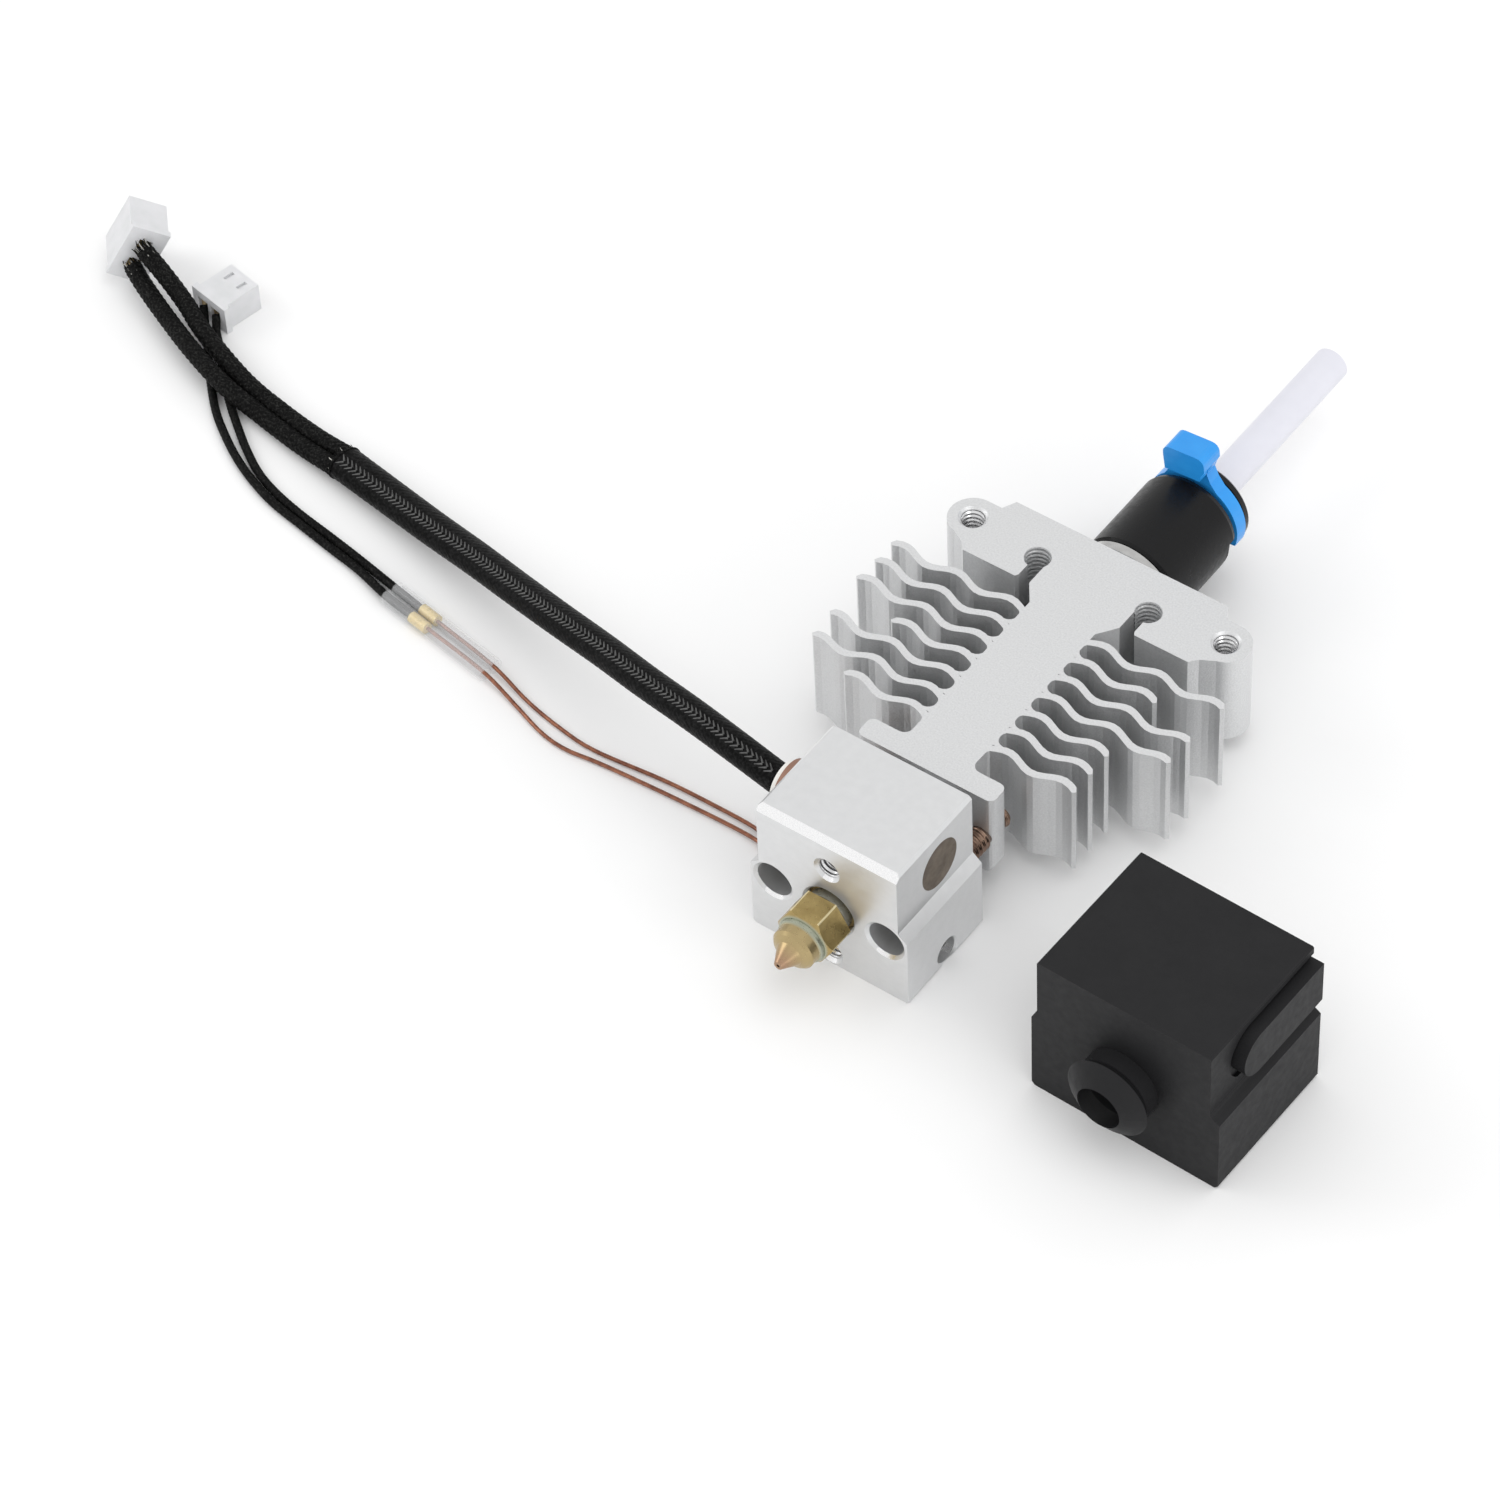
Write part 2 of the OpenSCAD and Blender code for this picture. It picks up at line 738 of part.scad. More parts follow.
heat_sink();
heat_break();
heater_block();
nozzle();
heater_cartridge();
cartridge_collar();
set_screws();
block_screws();
thermistor();
fitting_base();
fitting_body();
seal_ring();
grab_ring();
collet();
collet_clip();
ptfe_tube();
heater_sleeve();
heater_lead_a();
heater_lead_b();
heater_plug();
heater_terminals();
thermistor_wire_a();
thermistor_wire_b();
splice_tube();
splice_crimps();
sensor_lead_a();
sensor_lead_b();
sensor_plug();
sensor_terminals();
silicone_sock();
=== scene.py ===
import bpy
import bmesh
import math
import random
from mathutils import Vector, Matrix


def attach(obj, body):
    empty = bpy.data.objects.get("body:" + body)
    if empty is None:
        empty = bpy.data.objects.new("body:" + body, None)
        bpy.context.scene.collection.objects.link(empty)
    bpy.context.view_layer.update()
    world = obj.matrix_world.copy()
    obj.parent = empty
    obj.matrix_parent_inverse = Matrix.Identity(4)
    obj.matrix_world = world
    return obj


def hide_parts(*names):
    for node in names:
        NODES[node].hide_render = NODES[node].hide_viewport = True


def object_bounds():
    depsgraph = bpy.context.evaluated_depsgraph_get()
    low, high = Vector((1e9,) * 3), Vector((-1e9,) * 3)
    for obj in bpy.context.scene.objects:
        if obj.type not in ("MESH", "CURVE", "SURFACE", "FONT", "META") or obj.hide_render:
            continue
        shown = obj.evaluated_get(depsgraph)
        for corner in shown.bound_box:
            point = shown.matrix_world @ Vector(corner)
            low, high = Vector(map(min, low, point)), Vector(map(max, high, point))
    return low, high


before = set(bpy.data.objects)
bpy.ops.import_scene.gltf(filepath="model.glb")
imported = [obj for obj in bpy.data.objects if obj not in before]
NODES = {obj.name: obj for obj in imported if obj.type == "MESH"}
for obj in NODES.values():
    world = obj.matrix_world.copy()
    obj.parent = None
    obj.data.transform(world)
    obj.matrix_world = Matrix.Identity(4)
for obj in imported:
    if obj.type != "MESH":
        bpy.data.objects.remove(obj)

cad_low, cad_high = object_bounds()
MM = 0.001
TAU = 2 * math.pi
scene = bpy.context.scene

# ------------------------------------------------------------------ camera

# A 144 mm lens looking down at the bench from the front right.
AZIMUTH, ELEVATION, ROLL = (math.radians(a) for a in (38.795, 48.742, -3.396))
TO_ORIGIN = (7.9665, -16.3602, 609.323)   # origin seen from the camera: right, up, ahead, in mm
BENCH_SHIFT = 48.8                         # that origin lies this far in front of the record's, in mm

away = Vector((math.sin(AZIMUTH) * math.cos(ELEVATION),
               -math.cos(AZIMUTH) * math.cos(ELEVATION), math.sin(ELEVATION)))
ahead = -away
right = ahead.cross(Vector((0, 0, 1))).normalized()
up = right.cross(ahead)
right, up = (right * math.cos(ROLL) + up * math.sin(ROLL),
             up * math.cos(ROLL) - right * math.sin(ROLL))
eye = -(right * TO_ORIGIN[0] + up * TO_ORIGIN[1] + ahead * TO_ORIGIN[2])
eye.y -= BENCH_SHIFT

lens = bpy.data.cameras.new("camera")
lens.lens = 144
lens.sensor_width = 36
lens.clip_start = 0.01
lens.clip_end = 20
camera = bpy.data.objects.new("camera", lens)
turn = Matrix((right, up, away)).transposed().to_4x4()
camera.matrix_world = Matrix.Translation(eye * MM) @ turn
scene.collection.objects.link(camera)
scene.camera = camera
scene.view_settings.view_transform = "Standard"

# ------------------------------------------------------------------ materials


def nodes_of(mat):
    return mat.node_tree.nodes, mat.node_tree.links


def principled(name, color, rough, metal=0.0, **sockets):
    """A new material with its even values set on the shader's own sockets."""
    mat = bpy.data.materials.new(name)
    mat.use_nodes = True
    shader = mat.node_tree.nodes["Principled BSDF"]
    shader.inputs["Base Color"].default_value = (*color, 1)
    shader.inputs["Roughness"].default_value = rough
    shader.inputs["Metallic"].default_value = metal
    for key, value in sockets.items():
        shader.inputs[key.replace("_", " ")].default_value = value
    return mat


def coords(mat, scale):
    """Points of the piece in its own axes, scaled along each."""
    nodes, links = nodes_of(mat)
    source = nodes.new("ShaderNodeTexCoord")
    mapping = nodes.new("ShaderNodeMapping")
    mapping.inputs["Scale"].default_value = scale
    links.new(source.outputs["Object"], mapping.inputs["Vector"])
    return mapping.outputs["Vector"]


def noise(mat, scale, detail=3, stretch=(1, 1, 1), rough=0.5):
    """Noise with about `scale` features per millimetre."""
    nodes, links = nodes_of(mat)
    tex = nodes.new("ShaderNodeTexNoise")
    tex.inputs["Scale"].default_value = scale / MM
    tex.inputs["Detail"].default_value = detail
    tex.inputs["Roughness"].default_value = rough
    links.new(coords(mat, stretch), tex.inputs["Vector"])
    return tex.outputs["Fac"]


NOISE_LOW, NOISE_HIGH = 0.3, 0.7   # noise seldom leaves this range


def ramp(mat, value, low, high, start=NOISE_LOW, end=NOISE_HIGH):
    """A colour running between two colours while value runs from start to end."""
    nodes, links = nodes_of(mat)
    node = nodes.new("ShaderNodeValToRGB")
    node.color_ramp.elements[0].position = start
    node.color_ramp.elements[0].color = (*low, 1)
    node.color_ramp.elements[1].position = end
    node.color_ramp.elements[1].color = (*high, 1)
    links.new(value, node.inputs["Fac"])
    return node.outputs["Color"]


def base_color(mat):
    return mat.node_tree.nodes["Principled BSDF"].inputs["Base Color"]


def span(mat, value, start, end, low=0, high=1):
    """A number running from low to high while value runs from start to end."""
    nodes, links = nodes_of(mat)
    node = nodes.new("ShaderNodeMapRange")
    for key, number in (("From Min", start), ("From Max", end), ("To Min", low), ("To Max", high)):
        node.inputs[key].default_value = number
    links.new(value, node.inputs["Value"])
    return node.outputs["Result"]


def mottle(mat, value, low, high, start=NOISE_LOW, end=NOISE_HIGH):
    """Base colour running between two colours."""
    mat.node_tree.links.new(ramp(mat, value, low, high, start, end), base_color(mat))


def uneven(mat, value, low, high):
    """Roughness running between two values."""
    nodes, links = nodes_of(mat)
    rough = span(mat, value, NOISE_LOW, NOISE_HIGH, low, high)
    links.new(rough, nodes["Principled BSDF"].inputs["Roughness"])


def bump(mat, value, depth):
    """Bump of about `depth` millimetres, added on top of earlier bumps."""
    nodes, links = nodes_of(mat)
    node = nodes.new("ShaderNodeBump")
    node.inputs["Strength"].default_value = 1
    node.inputs["Distance"].default_value = depth * MM
    links.new(value, node.inputs["Height"])
    target = nodes["Principled BSDF"].inputs["Normal"]
    if target.is_linked:
        links.new(target.links[0].from_socket, node.inputs["Normal"])
    links.new(node.outputs["Normal"], target)


def metal(name, low, high, rough_low, rough_high, grain, depth, stretch=(1, 1, 1), share=1.0, spread=0.23):
    """A metal: share is how much of it mirrors, spread the size of its colour patches against its grain."""
    mat = principled(name, high, rough_high, share)
    mottle(mat, noise(mat, grain * spread, 4), low, high)
    speckle = noise(mat, grain, 4, stretch)
    uneven(mat, speckle, rough_low, rough_high)
    bump(mat, speckle, depth)
    return mat


def facing(mat, direction, color, rough, cosine=0.95):
    """Give the faces that look along direction another colour and roughness."""
    nodes, links = nodes_of(mat)
    shader = nodes["Principled BSDF"]
    geometry = nodes.new("ShaderNodeNewGeometry")
    dot = nodes.new("ShaderNodeVectorMath")
    dot.operation = "DOT_PRODUCT"
    dot.inputs[1].default_value = direction
    links.new(geometry.outputs["True Normal"], dot.inputs[0])
    over = nodes.new("ShaderNodeMath")
    over.operation = "GREATER_THAN"
    over.inputs[1].default_value = cosine
    links.new(dot.outputs["Value"], over.inputs[0])
    blend(mat, base_color(mat), over.outputs[0], color)
    value = nodes.new("ShaderNodeMix")
    value.inputs["B"].default_value = rough
    links.new(over.outputs[0], value.inputs["Factor"])
    links.new(shader.inputs["Roughness"].links[0].from_socket, value.inputs["A"])
    links.new(value.outputs["Result"], shader.inputs["Roughness"])


COLOR_MIX_INPUTS, COLOR_MIX_OUTPUT = (0, 6, 7), 2   # the colour sockets of a Mix node


def blend(mat, socket, factor, color):
    """Mix color over what already feeds the socket."""
    nodes, links = nodes_of(mat)
    mix = nodes.new("ShaderNodeMix")
    mix.data_type = "RGBA"
    amount, under, over = (mix.inputs[k] for k in COLOR_MIX_INPUTS)
    links.new(factor, amount)
    links.new(socket.links[0].from_socket, under)
    if isinstance(color, tuple):
        over.default_value = (*color, 1)
    else:
        links.new(color, over)
    links.new(mix.outputs[COLOR_MIX_OUTPUT], socket)


def along(mat, axis, start, end):
    """0 to 1 between two stations along one of the part's own axes, in mm."""
    nodes, links = nodes_of(mat)
    source = nodes.new("ShaderNodeTexCoord")
    split = nodes.new("ShaderNodeSeparateXYZ")
    links.new(source.outputs["Object"], split.inputs[0])
    return span(mat, split.outputs[axis], start * MM, end * MM)


def beyond(mat, radius, soft=0.03):
    """0 to 1 where the surface is further than radius from the part's own Y axis, in mm."""
    nodes, links = nodes_of(mat)
    source = nodes.new("ShaderNodeTexCoord")
    flat = nodes.new("ShaderNodeVectorMath")
    flat.operation = "MULTIPLY"
    flat.inputs[1].default_value = (1, 0, 1)
    links.new(source.outputs["Object"], flat.inputs[0])
    length = nodes.new("ShaderNodeVectorMath")
    length.operation = "LENGTH"
    links.new(flat.outputs["Vector"], length.inputs[0])
    return span(mat, length.outputs["Value"], (radius - soft) * MM, radius * MM)


blasted = metal("blasted_aluminium", (0.66, 0.665, 0.67), (0.76, 0.765, 0.77), 0.36, 0.52, 5.0, 0.04,
                share=0.85, spread=1.0)
sawn_edge = metal("bright_cut_edge", (0.34, 0.34, 0.35), (1.0, 1.0, 1.0), 0.1, 0.3, 4.0, 0.2, spread=0.9)
milled = metal("milled_aluminium", (0.70, 0.705, 0.71), (0.73, 0.735, 0.74), 0.34, 0.44, 4.0, 0.003,
               stretch=(0.15, 1, 1), share=0.8)
bright = metal("bright_chamfer", (0.44, 0.44, 0.45), (1.0, 1.0, 1.0), 0.1, 0.28, 4.0, 0.16, spread=1.0)
thread_mat = metal("cut_thread", (0.66, 0.66, 0.67), (0.90, 0.90, 0.90), 0.16, 0.28, 4.0, 0.004)
steel = metal("turned_steel", (0.36, 0.36, 0.37), (0.50, 0.50, 0.50), 0.22, 0.36, 6.0, 0.006,
              stretch=(1, 0.1, 1))
dark_steel = metal("blackened_steel", (0.08, 0.08, 0.09), (0.20, 0.20, 0.21), 0.3, 0.45, 5.0, 0.006)
brass = metal("nozzle_brass", (0.36, 0.26, 0.10), (0.48, 0.36, 0.15), 0.26, 0.34, 3.0, 0.001, spread=0.3,
              share=0.8)
cartridge_mat = metal("heat_stained_steel", (0.12, 0.092, 0.066), (0.19, 0.15, 0.11), 0.30, 0.44, 2.0, 0.008)
cartridge_rim = metal("copper_stained_rim", (0.20, 0.10, 0.06), (0.42, 0.24, 0.16), 0.22, 0.36, 3.0, 0.006)
screw_mat = metal("copper_stained_screw", (0.07, 0.05, 0.04), (0.22, 0.16, 0.13), 0.3, 0.42, 2.0, 0.006,
                  share=0.6)
screw_thread = metal("copper_stained_thread", (0.10, 0.06, 0.045), (0.34, 0.23, 0.17), 0.16, 0.26, 2.0, 0.002)
nickel = metal("nickel_plate", (0.46, 0.455, 0.45), (0.60, 0.60, 0.59), 0.16, 0.28, 3.0, 0.004)
terminal = metal("stamped_brass", (0.40, 0.29, 0.14), (0.60, 0.46, 0.25), 0.24, 0.38, 3.0, 0.006)
sensor_mat = metal("sensor_case", (0.02, 0.02, 0.02), (0.46, 0.46, 0.46), 0.2, 0.4, 3.0, 0.03,
                   spread=0.5, share=0.6)
crimp = metal("gold_crimp", (0.60, 0.44, 0.13), (0.76, 0.60, 0.24), 0.24, 0.36, 2.0, 0.01, share=0.3)
# brighter brass for the nozzle's bevelled edges: a painted highlight along them
brass_edge = metal("brass_edge_highlight", (0.74, 0.60, 0.34), (0.86, 0.74, 0.48), 0.16, 0.26, 3.0, 0.002)

ceramic = principled("ceramic", (0.85, 0.84, 0.80), 0.5)
bump(ceramic, noise(ceramic, 6), 0.01)

enamel = principled("enamelled_copper", (0.26, 0.09, 0.045), 0.24, 0.7, Coat_Weight=0.4, Coat_Roughness=0.15)
mottle(enamel, noise(enamel, 1.2, 4), (0.17, 0.055, 0.03), (0.36, 0.14, 0.075))

moulded = principled("satin_black_plastic", (0.006, 0.006, 0.0065), 0.34, Specular_IOR_Level=0.2)
uneven(moulded, noise(moulded, 1.5, 5), 0.26, 0.42)
bump(moulded, noise(moulded, 5, 3), 0.01)

gloss_black = principled("gloss_black_plastic", (0.005, 0.005, 0.006), 0.16, Specular_IOR_Level=0.3)
uneven(gloss_black, noise(gloss_black, 1.0, 3), 0.12, 0.2)

blue = principled("blue_plastic", (0.020, 0.29, 0.77), 0.28)
mottle(blue, noise(blue, 0.5, 2), (0.018, 0.28, 0.75), (0.024, 0.31, 0.79))
bump(blue, noise(blue, 4, 3), 0.006)

milky = principled("milky_tube", (0.70, 0.70, 0.76), 0.36, Specular_IOR_Level=0.3)
mottle(milky, noise(milky, 0.4, 2), (0.69, 0.69, 0.75), (0.71, 0.71, 0.77))
bump(milky, noise(milky, 3, 3), 0.003)

nylon = principled("translucent_nylon", (0.84, 0.85, 0.86), 0.36, Transmission_Weight=0.25)
mottle(nylon, noise(nylon, 0.5, 2), (0.80, 0.81, 0.82), (0.88, 0.88, 0.90))

clear = principled("clear_plastic", (0.95, 0.96, 0.97), 0.06, Alpha=0.15, Specular_IOR_Level=0.9)
uneven(clear, noise(clear, 0.5, 2), 0.08, 0.2)

silicone = principled("matt_silicone", (0.012, 0.012, 0.013), 0.55, Specular_IOR_Level=0.2)
mottle(silicone, noise(silicone, 0.25, 2), (0.0115, 0.0115, 0.0125), (0.0135, 0.0135, 0.0145))
uneven(silicone, noise(silicone, 1.1, 4), 0.5, 0.6)
bump(silicone, noise(silicone, 8, 3), 0.008)

braid = principled("varnished_braid", (0.003, 0.003, 0.003), 0.3, Specular_IOR_Level=0.06)
mottle(braid, noise(braid, 3.0, 3), (0.002, 0.002, 0.002), (0.016, 0.016, 0.016), 0.45, 0.75)
uneven(braid, noise(braid, 2.0, 4), 0.28, 0.5)
bump(braid, noise(braid, 14, 2, (1, 0.25, 1)), 0.03)

seam_mat = principled("seam_thread", (0.06, 0.06, 0.06), 0.4, Specular_IOR_Level=0.4)
mottle(seam_mat, noise(seam_mat, 2.0, 2), (0.030, 0.030, 0.030), (0.095, 0.095, 0.093))

dull_braid = principled("dull_braid", (0.006, 0.006, 0.006), 0.5, Specular_IOR_Level=0.05)
mottle(dull_braid, noise(dull_braid, 4, 4, rough=0.7), (0.004, 0.004, 0.004), (0.06, 0.06, 0.057), 0.5, 0.85)
bump(dull_braid, noise(dull_braid, 12, 3), 0.04)

fibre = principled("loose_fibre", (0.30, 0.29, 0.26), 0.5)
mottle(fibre, noise(fibre, 2.0, 2), (0.12, 0.12, 0.11), (0.55, 0.54, 0.50))

# the bevel along the block's front edge is left rough by the cutter
cut_marks = ramp(milled, noise(milled, 16, 2), (0.86, 0.86, 0.87), (1.0, 1.0, 1.0), 0.35, 0.6)
FORWARD_AND_UP = (0, -math.sqrt(0.5), math.sqrt(0.5))
facing(milled, FORWARD_AND_UP, cut_marks, 0.25)
# painted shade darkens the groove behind the nozzle's hexagon; heat has turned the shoulder blue-grey and the
# tip brown
NOZZLE_TINTS_AND_SHADE = [   # from, to, colour past that station
    # the first band is painted shade in the groove behind the hexagon
    (-49.72, -49.62, (0.09, 0.07, 0.04)), (-49.35, -49.25, (0.44, 0.43, 0.36)),
    (-48.3, -48.1, (0.46, 0.34, 0.15)), (-53.1, -53.3, (0.38, 0.40, 0.31)),
    (-53.75, -53.95, (0.44, 0.34, 0.17)), (-55.4, -57.2, (0.38, 0.24, 0.15))]
for start, end, band_colour in NOZZLE_TINTS_AND_SHADE:
    blend(brass, base_color(brass), along(brass, "Y", start, end), band_colour)
# painted highlight along the ridges of the hexagon, where they stand furthest from the axis
RIDGE_HIGHLIGHT_RADIUS = 3.42
blend(brass, base_color(brass), beyond(brass, RIDGE_HIGHLIGHT_RADIUS), (0.88, 0.76, 0.46))

# the wired end of the cartridge is copper-coloured
blend(cartridge_mat, base_color(cartridge_mat), along(cartridge_mat, "X", -8, -9), (0.34, 0.20, 0.15))

# ------------------------------------------------------------------ mesh helpers


SAME_POINT = 1e-7   # points closer than this, in metres, become one


def piece(name, verts, faces, mat, smooth, stands_for=()):
    """A new piece from points in millimetres, on the fixed body; edges over smooth degrees stay sharp."""
    mesh = bpy.data.meshes.new(name)
    mesh.from_pydata([(x * MM, y * MM, z * MM) for x, y, z in verts], [], faces)
    mesh.materials.append(mat)
    edit = bmesh.new()
    edit.from_mesh(mesh)
    bmesh.ops.remove_doubles(edit, verts=edit.verts, dist=SAME_POINT)
    bmesh.ops.recalc_face_normals(edit, faces=edit.faces)
    edit.to_mesh(mesh)
    edit.free()
    mesh.shade_smooth()
    mesh.set_sharp_from_angle(angle=math.radians(smooth))
    obj = bpy.data.objects.new(name, mesh)
    scene.collection.objects.link(obj)
    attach(obj, "hotend")
    if stands_for:
        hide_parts(*stands_for)
    return obj


SHARP_ANGLE = math.radians(35)   # edges over this stay sharp, or take the bevel
FLAT_ANGLE = math.radians(0.4)   # facets of a CAD face closer than this are one face


def dress(node, mat, bevel=0.0, segments=2, edge=None):
    """Give a CAD node its material, softened edges and smooth shading."""
    obj = NODES[node]
    obj.data.materials.clear()
    obj.data.materials.append(mat)
    if edge:
        obj.data.materials.append(edge)
    if bevel:
        flat = obj.modifiers.new("flat", "DECIMATE")
        flat.decimate_type = "DISSOLVE"
        flat.angle_limit = FLAT_ANGLE
        mod = obj.modifiers.new("edges", "BEVEL")
        mod.width = bevel * MM
        mod.segments = segments
        mod.limit_method = "ANGLE"
        mod.angle_limit = SHARP_ANGLE
        mod.use_clamp_overlap = True
        if edge:
            mod.material = 1
    obj.data.shade_smooth()
    obj.modifiers.new("shading", "NODES").node_group = SHARP_EDGES


def sharp_edges():
    """A small geometry node tree that keeps edges over the sharp angle sharp."""
    tree = bpy.data.node_groups.new("sharp_edges", "GeometryNodeTree")
    tree.interface.new_socket("Geometry", in_out="INPUT", socket_type="NodeSocketGeometry")
    tree.interface.new_socket("Geometry", in_out="OUTPUT", socket_type="NodeSocketGeometry")
    start = tree.nodes.new("NodeGroupInput")
    end = tree.nodes.new("NodeGroupOutput")
    angle = tree.nodes.new("GeometryNodeInputMeshEdgeAngle")
    below = tree.nodes.new("FunctionNodeCompare")
    below.data_type = "FLOAT"
    below.operation = "LESS_EQUAL"
    below.inputs["B"].default_value = SHARP_ANGLE
    shade = tree.nodes.new("GeometryNodeSetShadeSmooth")
    shade.domain = "EDGE"
    tree.links.new(start.outputs[0], shade.inputs["Geometry"])
    tree.links.new(angle.outputs["Unsigned Angle"], below.inputs["A"])
    tree.links.new(below.outputs["Result"], shade.inputs["Shade Smooth"])
    tree.links.new(shade.outputs["Geometry"], end.inputs[0])
    return tree


SHARP_EDGES = sharp_edges()


def place(points, centre, axis):
    """Points given about a +Y axis at the origin, moved to a Y or Z axis through centre."""
    cx, cy, cz = centre
    if axis == "Y":
        return [(x + cx, y + cy, z + cz) for x, y, z in points]
    return [(x + cx, z + cy, y + cz) for x, y, z in points]


def thread_shape(wall, crest, start, end, pitch, gap=None, segments=36, per_turn=8):
    """A helical thread from start to end, toothed up to the crest radius and plain at the wall radius.

    It is left open between the two angles of gap, and runs out over half a turn at both ends.
    """
    root_share, flat_share = 0.25, 0.15   # of the depth at the root, of the pitch at root and crest
    rows = max(2, int((end - start) / pitch * per_turn))
    verts = []
    for toothed in (True, False):
        for i in range(rows + 1):
            y = start + (end - start) * i / rows
            for k in range(segments):
                a = TAU * k / segments
                r = wall
                if toothed:
                    phase = (y / pitch - k / segments) % 1
                    tooth = 1 - abs(2 * phase - 1)
                    tooth = min(1, max(0, (tooth - flat_share) / (1 - 2 * flat_share)))
                    ease = min(1, i / per_turn * 2, (rows - i) / per_turn * 2)
                    r += (crest - wall) * (root_share + (1 - root_share) * tooth * ease)
                verts.append((r * math.cos(a), y, r * math.sin(a)))
    faces = []
    side = (rows + 1) * segments
    for layer in (0, side):
        for i in range(rows):
            for k in range(segments):
                if gap and gap[0] < 360 * (k + 0.5) / segments < gap[1]:
                    continue
                m = (k + 1) % segments
                a, b = layer + i * segments, layer + (i + 1) * segments
                faces.append((a + k, a + m, b + m, b + k))
    for i in (0, rows):
        for k in range(segments):
            if gap and gap[0] < 360 * (k + 0.5) / segments < gap[1]:
                continue
            m = (k + 1) % segments
            a = i * segments
            faces.append((a + k, a + m, side + a + m, side + a + k))
    return verts, faces


def thread(name, wall, crest, start, end, pitch, mat, centre, axis="Y", gap=None):
    """A piece with a helical thread about an axis through centre."""
    verts, faces = thread_shape(wall, crest, start, end, pitch, gap)
    piece(name, place(verts, centre, axis), faces, mat, smooth=60)


def joined(name, shapes, mat):
    """One piece from several (verts, faces) shapes."""
    verts, faces = [], []
    for v, f in shapes:
        base = len(verts)
        verts += v
        faces += [tuple(base + i for i in face) for face in f]
    piece(name, verts, faces, mat, smooth=60)


# ------------------------------------------------------------------ cords


PER_SPAN = 24   # fine points between two route points


def spline(points, step):
    """Points about step mm apart on a smooth curve through the route points, and its length."""
    pts = [Vector(q) for q in points]
    pts = [pts[0] * 2 - pts[1]] + pts + [pts[-1] * 2 - pts[-2]]
    fine = []
    for i in range(1, len(pts) - 2):
        a, b, c, d = pts[i - 1:i + 3]
        for k in range(PER_SPAN):
            t = k / PER_SPAN
            fine.append(0.5 * (2 * b + (c - a) * t + (2 * a - 5 * b + 4 * c - d) * t * t
                               + (3 * b - a - 3 * c + d) * t ** 3))
    fine.append(pts[-2])
    total = [0]
    for a, b in zip(fine, fine[1:]):
        total.append(total[-1] + (b - a).length)
    count = max(2, int(round(total[-1] / step)))
    out, j = [], 0
    for i in range(count + 1):
        want = total[-1] * i / count
        while j < len(fine) - 2 and total[j + 1] < want:
            j += 1
        part = (want - total[j]) / max(1e-9, total[j + 1] - total[j])
        out.append(fine[j].lerp(fine[j + 1], min(1, max(0, part))))
    return out, total[-1]


def across(direction):
    """The level direction square to this one, and the one square to both."""
    side = direction.cross(Vector((0, 0, 1))).normalized()
    return side, side.cross(direction)


def tube_shape(path, around, shape):
    """A closed tube along path; shape(t, angle, distance) gives (sideways, upward) in mm."""
    verts, faces = [], []
    n = len(path)
    run = 0
    for i, q in enumerate(path):
        if i:
            run += (q - path[i - 1]).length
        t = (path[min(i + 1, n - 1)] - path[max(i - 1, 0)]).normalized()
        side, rise = across(t)
        for k in range(around):
            a, b = shape(i / (n - 1), TAU * k / around, run)
            verts.append(tuple(q + side * a + rise * b))
    for i in range(n - 1):
        for k in range(around):
            m = (k + 1) % around
            faces.append((i * around + k, i * around + m, (i + 1) * around + m, (i + 1) * around + k))
    verts.append(tuple(path[0]))
    verts.append(tuple(path[-1]))
    for k in range(around):
        m = (k + 1) % around
        faces.append((len(verts) - 2, m, k))
        last = (n - 1) * around
        faces.append((len(verts) - 1, last + k, last + m))
    return verts, faces


def tapered(line, radius, taper):
    """A thin five-sided strand that loses the share taper of its radius towards its end."""
    return tube_shape(line, 5, lambda t, angle, run: (
        radius * (1 - taper * t) * math.cos(angle), radius * (1 - taper * t) * math.sin(angle)))


def braid_height(angle, run, strands, pitch):
    """0 to 1: two sets of helical strands passing over and under each other."""
    u = strands * (angle / TAU + run / pitch)
    v = strands * (angle / TAU - run / pitch)
    over = (int(math.floor(u)) + int(math.floor(v))) % 2
    fu, fv = u % 1, v % 1
    p, q = (fu, fv) if over else (fv, fu)
    round_top = math.sin(math.pi * p) ** 0.5
    dip = 0.38   # how far a strand dives under the next
    return round_top * (1 - dip + dip * math.sin(math.pi * q))


def braided(name, route, half_wide, half_high, strands, pitch, relief, step, around, mat, node, slot,
            **facts):
    """A braided cord; half_wide and half_high are each given at both ends, in mm. Returns its path."""
    path, length = spline(route, step)

    def shape(t, angle, run):
        grow = relief * braid_height(angle, run, strands, pitch)
        wide = half_wide[0] + (half_wide[1] - half_wide[0]) * t - relief * 0.5 + grow
        high = half_high[0] + (half_high[1] - half_high[0]) * t - relief * 0.5 + grow
        return wide * math.cos(angle), high * math.sin(angle)

    verts, faces = tube_shape(path, around, shape)
    obj = piece(name, verts, faces, mat, smooth=50, stands_for=[node])
    return path


WIRE_STEP = 1.2   # mm between the points of a smooth wire


def wire(name, route, radius, mat, node, slot, **facts):
    """A smooth round wire as a curve of one open spline."""
    path, length = spline(route, WIRE_STEP)
    data = bpy.data.curves.new(name, "CURVE")
    data.dimensions = "3D"
    data.bevel_depth = radius * MM
    data.bevel_resolution = 3
    data.use_fill_caps = True
    strand = data.splines.new("POLY")
    strand.points.add(len(path) - 1)
    for point, q in zip(strand.points, path):
        point.co = (*(q * MM), 1)
    strand.use_smooth = True
    data.materials.append(mat)
    obj = bpy.data.objects.new(name, data)
    scene.collection.objects.link(obj)
    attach(obj, "hotend")
    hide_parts(node)


